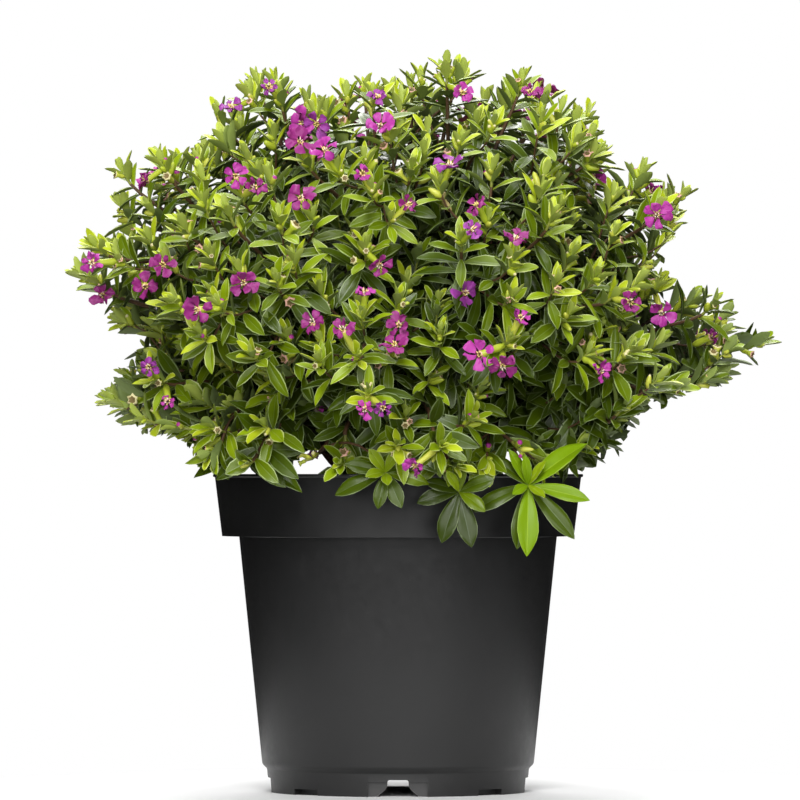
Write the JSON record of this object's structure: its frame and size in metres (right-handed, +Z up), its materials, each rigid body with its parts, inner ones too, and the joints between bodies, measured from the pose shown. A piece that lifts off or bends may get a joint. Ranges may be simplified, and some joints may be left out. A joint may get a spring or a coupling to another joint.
{
  "type": "potted cuphea",
  "caption": "A small flowering cuphea shrub with a full rounded crown of narrow leaves and magenta blossom, standing in soil in its black nursery pot.",
  "frame": {"origin": "Middle of the whole plant's outline seen from above, on the ground plane that the pot stands on.", "axes": "+Z is up through the crown, +Y is away from the viewer of the picture and +X is to the viewer's right; the pot's axis stands 9.4 mm to the left of the origin."},
  "size_m": [0.2828, 0.2502, 0.2971],
  "materials": {
    "pot_plastic": "satin near-black moulded plastic",
    "soil": "moist dark potting soil with bark fibres",
    "bark": "red-brown bark",
    "foliage": "glossy green leaves with magenta blossom"
  },
  "bodies": {
    "root": {"bough_back_left_low": "bark", "bough_back_low": "bark", "bough_back_right_low": "bark", "bough_back_rim": "bark", "bough_front_left_low": "bark", "bough_front_low": "bark", "bough_front_mid_low": "bark", "bough_front_right_low": "bark", "bough_front_rim": "bark", "bough_shoulder_back_left": "bark", "bough_shoulder_back_right": "bark", "bough_shoulder_front_left": "bark", "bough_shoulder_front_right": "bark", "bough_shoulder_left": "bark", "bough_shoulder_right": "bark", "bough_side_left": "bark", "bough_side_left_low": "bark", "bough_side_right": "bark", "bough_side_right_low": "bark", "bough_top_back": "bark", "bough_top_front": "bark", "bough_top_left": "bark", "bough_top_mid_left": "bark", "bough_top_mid_right": "bark", "bough_top_right": "bark", "foliage_back_left_low": "foliage", "foliage_back_low": "foliage", "foliage_back_right_low": "foliage", "foliage_back_rim": "foliage", "foliage_front_left_low": "foliage", "foliage_front_low": "foliage", "foliage_front_mid_low": "foliage", "foliage_front_right_low": "foliage", "foliage_front_rim": "foliage", "foliage_shoulder_back_left": "foliage", "foliage_shoulder_back_right": "foliage", "foliage_shoulder_front_left": "foliage", "foliage_shoulder_front_right": "foliage", "foliage_shoulder_left": "foliage", "foliage_shoulder_right": "foliage", "foliage_side_left": "foliage", "foliage_side_left_low": "foliage", "foliage_side_right": "foliage", "foliage_side_right_low": "foliage", "foliage_top": "foliage", "foliage_top_back": "foliage", "foliage_top_front": "foliage", "foliage_top_left": "foliage", "foliage_top_mid_left": "foliage", "foliage_top_mid_right": "foliage", "foliage_top_right": "foliage", "pot": "pot_plastic", "soil": "soil", "trunk": "bark"}
  },
  "joints": []
}
